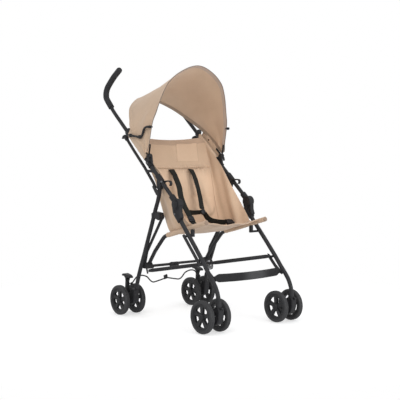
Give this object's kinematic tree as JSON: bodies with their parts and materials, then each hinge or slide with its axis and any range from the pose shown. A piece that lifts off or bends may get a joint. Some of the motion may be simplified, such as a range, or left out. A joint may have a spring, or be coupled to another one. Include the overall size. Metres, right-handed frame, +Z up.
{
  "type": "folding buggy",
  "caption": "Folding umbrella buggy with black tube frame, twin wheels, beige sling seat with harness, and beige sun canopy that folds forward",
  "frame": {"origin": "on the floor under the middle of the buggy's box", "axes": "+Z up, the buggy faces -Y, +X is the child's left"},
  "size_m": [0.494, 0.7882, 1.0409],
  "materials": {
    "frame": "semi-matt black powder coat",
    "plastic": "fine textured moulded black",
    "foam": "matt closed-cell foam",
    "tyre": "matt black moulded wheel and tyre",
    "cloth": "plain-weave beige polyester",
    "webbing": "woven black webbing",
    "wire": "black coated wire"
  },
  "bodies": {
    "centre": {"seat_sling": "cloth", "cross_pin": "wire", "shoulder_strap_left": "webbing", "shoulder_strap_right": "webbing", "waist_strap": "webbing", "lap_strap": "webbing", "harness_buckle": "plastic", "foot_strap": "webbing"},
    "frame_right": {"handle_tube_right": "frame", "grip_right": "foam", "back_tube_right": "frame", "hinge_housing_right": "plastic", "leg_bracket_right": "plastic", "canopy_clamp_right": "plastic", "front_leg_right": "frame", "rear_leg_right": "frame", "seat_tube_right": "frame", "seat_sleeve_right": "cloth", "lower_link_right": "frame", "front_link_right": "frame", "rear_axle_housing_right": "plastic"},
    "frame_left": {"handle_tube_left": "frame", "grip_left": "foam", "back_tube_left": "frame", "hinge_housing_left": "plastic", "leg_bracket_left": "plastic", "canopy_clamp_left": "plastic", "front_leg_left": "frame", "rear_leg_left": "frame", "seat_tube_left": "frame", "seat_sleeve_left": "cloth", "lower_link_left": "frame", "front_link_left": "frame", "rear_axle_housing_left": "plastic"},
    "cross_bar_upper": {"cross_bar_upper": "frame"},
    "cross_bar_lower": {"cross_bar_lower": "frame"},
    "canopy": {"canopy_cloth": "cloth"},
    "spreader_right": {"spreader_right": "frame"},
    "brake_pedal_right": {"brake_pedal_right": "plastic"},
    "brake_wire_right": {"brake_wire_right": "wire"},
    "canopy_side_right": {"canopy_clip_right": "plastic", "canopy_stay_right": "plastic"},
    "caster_right": {"caster_right": "plastic"},
    "lock_tab_right": {"lock_tab_right": "plastic"},
    "wheel_front_right_outer": {"wheel_front_right_outer": "tyre"},
    "wheel_front_right_inner": {"wheel_front_right_inner": "tyre"},
    "wheel_rear_right_outer": {"wheel_rear_right_outer": "tyre"},
    "wheel_rear_right_inner": {"wheel_rear_right_inner": "tyre"},
    "spreader_left": {"spreader_left": "frame"},
    "brake_pedal_left": {"brake_pedal_left": "plastic"},
    "brake_wire_left": {"brake_wire_left": "wire"},
    "canopy_side_left": {"canopy_clip_left": "plastic", "canopy_stay_left": "plastic"},
    "caster_left": {"caster_left": "plastic"},
    "lock_tab_left": {"lock_tab_left": "plastic"},
    "wheel_front_left_outer": {"wheel_front_left_outer": "tyre"},
    "wheel_front_left_inner": {"wheel_front_left_inner": "tyre"},
    "wheel_rear_left_outer": {"wheel_rear_left_outer": "tyre"},
    "wheel_rear_left_inner": {"wheel_rear_left_inner": "tyre"}
  },
  "joints": [
    {"name": "fold", "type": "slide", "parent": "centre", "child": "frame_right", "axis": [1, 0, 0], "range_m": [0, 0.095], "deforming": ["seat_sling", "foot_strap", "canopy_cloth", "shoulder_strap_left", "shoulder_strap_right", "waist_strap", "lap_strap"]},
    {"name": "fold_left", "type": "slide", "parent": "centre", "child": "frame_left", "axis": [-1, 0, 0], "range_m": [0, 0.095]},
    {"name": "cross_bar_upper_turn", "type": "hinge", "parent": "centre", "child": "cross_bar_upper", "pos_m": [0, -0.0878, 0.22], "axis": [0, -0.184, -0.9829], "range_deg": [0, 26.1]},
    {"name": "cross_bar_lower_turn", "type": "hinge", "parent": "centre", "child": "cross_bar_lower", "pos_m": [0, -0.0878, 0.22], "axis": [0, 0.184, 0.9829], "range_deg": [0, 26.1]},
    {"name": "spreader_right_fold", "type": "hinge", "parent": "frame_right", "child": "spreader_right", "pos_m": [-0.15, 0.1467, 0.204], "axis": [0, -1, 0], "range_deg": [0, 68.1]},
    {"name": "brake_right", "type": "hinge", "parent": "frame_right", "child": "brake_pedal_right", "pos_m": [-0.193, 0.2212, 0.093], "axis": [-1, 0, 0], "range_deg": [0, 25]},
    {"name": "brake_wire_right_fold", "type": "hinge", "parent": "brake_pedal_right", "child": "brake_wire_right", "pos_m": [-0.1875, 0.1967, 0.129], "axis": [0, -1, 0], "range_deg": [0, 24.1]},
    {"name": "spreader_left_fold", "type": "hinge", "parent": "frame_left", "child": "spreader_left", "pos_m": [0.15, 0.1597, 0.204], "axis": [0, 1, 0], "range_deg": [0, 68.1]},
    {"name": "brake_left", "type": "hinge", "parent": "frame_left", "child": "brake_pedal_left", "pos_m": [0.193, 0.2212, 0.093], "axis": [-1, 0, 0], "range_deg": [0, 25]},
    {"name": "brake_wire_left_fold", "type": "hinge", "parent": "brake_pedal_left", "child": "brake_wire_left", "pos_m": [0.1875, 0.2027, 0.129], "axis": [0, 1, 0], "range_deg": [0, 24.1]},
    {"name": "canopy_tilt", "type": "hinge", "parent": "centre", "child": "canopy", "pos_m": [0, 0.0588, 0.668], "axis": [1, 0, 0], "range_deg": [0, 38]},
    {"name": "canopy_side_right_slide", "type": "slide", "parent": "canopy", "child": "canopy_side_right", "axis": [1, 0, 0], "range_m": [0, 0.095]},
    {"name": "caster_right_swivel", "type": "hinge", "parent": "frame_right", "child": "caster_right", "pos_m": [-0.193, -0.3718, 0.103], "axis": [0, 0, 1], "continuous": true},
    {"name": "lock_tab_right_lift", "type": "hinge", "parent": "caster_right", "child": "lock_tab_right", "pos_m": [-0.193, -0.3828, 0.097], "axis": [-1, 0, 0], "range_deg": [0, 20]},
    {"name": "wheel_front_right_outer_spin", "type": "hinge", "parent": "caster_right", "child": "wheel_front_right_outer", "pos_m": [-0.2337, -0.3267, 0.0635], "axis": [1, 0, 0], "continuous": true},
    {"name": "wheel_front_right_inner_spin", "type": "hinge", "parent": "caster_right", "child": "wheel_front_right_inner", "pos_m": [-0.1523, -0.3267, 0.0635], "axis": [1, 0, 0], "continuous": true},
    {"name": "wheel_rear_right_outer_spin", "type": "hinge", "parent": "frame_right", "child": "wheel_rear_right_outer", "pos_m": [-0.2337, 0.2167, 0.0625], "axis": [1, 0, 0], "continuous": true},
    {"name": "wheel_rear_right_inner_spin", "type": "hinge", "parent": "frame_right", "child": "wheel_rear_right_inner", "pos_m": [-0.1523, 0.2167, 0.0625], "axis": [1, 0, 0], "continuous": true},
    {"name": "canopy_side_left_slide", "type": "slide", "parent": "canopy", "child": "canopy_side_left", "axis": [-1, 0, 0], "range_m": [0, 0.095]},
    {"name": "caster_left_swivel", "type": "hinge", "parent": "frame_left", "child": "caster_left", "pos_m": [0.193, -0.3718, 0.103], "axis": [0, 0, 1], "continuous": true},
    {"name": "lock_tab_left_lift", "type": "hinge", "parent": "caster_left", "child": "lock_tab_left", "pos_m": [0.193, -0.3828, 0.097], "axis": [-1, 0, 0], "range_deg": [0, 20]},
    {"name": "wheel_front_left_outer_spin", "type": "hinge", "parent": "caster_left", "child": "wheel_front_left_outer", "pos_m": [0.2337, -0.3267, 0.0635], "axis": [1, 0, 0], "continuous": true},
    {"name": "wheel_front_left_inner_spin", "type": "hinge", "parent": "caster_left", "child": "wheel_front_left_inner", "pos_m": [0.1523, -0.3267, 0.0635], "axis": [1, 0, 0], "continuous": true},
    {"name": "wheel_rear_left_outer_spin", "type": "hinge", "parent": "frame_left", "child": "wheel_rear_left_outer", "pos_m": [0.2337, 0.2167, 0.0625], "axis": [1, 0, 0], "continuous": true},
    {"name": "wheel_rear_left_inner_spin", "type": "hinge", "parent": "frame_left", "child": "wheel_rear_left_inner", "pos_m": [0.1523, 0.2167, 0.0625], "axis": [1, 0, 0], "continuous": true}
  ],
  "couplings": [
    {"joint": "fold_left", "follows": "fold", "ratio": 1},
    {"joint": "cross_bar_upper_turn", "follows": "fold", "rad_per_m": 4.78},
    {"joint": "cross_bar_lower_turn", "follows": "fold", "rad_per_m": 4.78},
    {"joint": "spreader_right_fold", "follows": "fold", "rad_per_m": 12.493},
    {"joint": "brake_wire_right_fold", "follows": "fold", "rad_per_m": 4.4093},
    {"joint": "spreader_left_fold", "follows": "fold", "rad_per_m": 12.493},
    {"joint": "brake_wire_left_fold", "follows": "fold", "rad_per_m": 4.4093},
    {"joint": "brake_left", "follows": "brake_right", "ratio": 1},
    {"joint": "canopy_side_right_slide", "follows": "fold", "ratio": 1},
    {"joint": "canopy_side_left_slide", "follows": "fold", "ratio": 1}
  ]
}
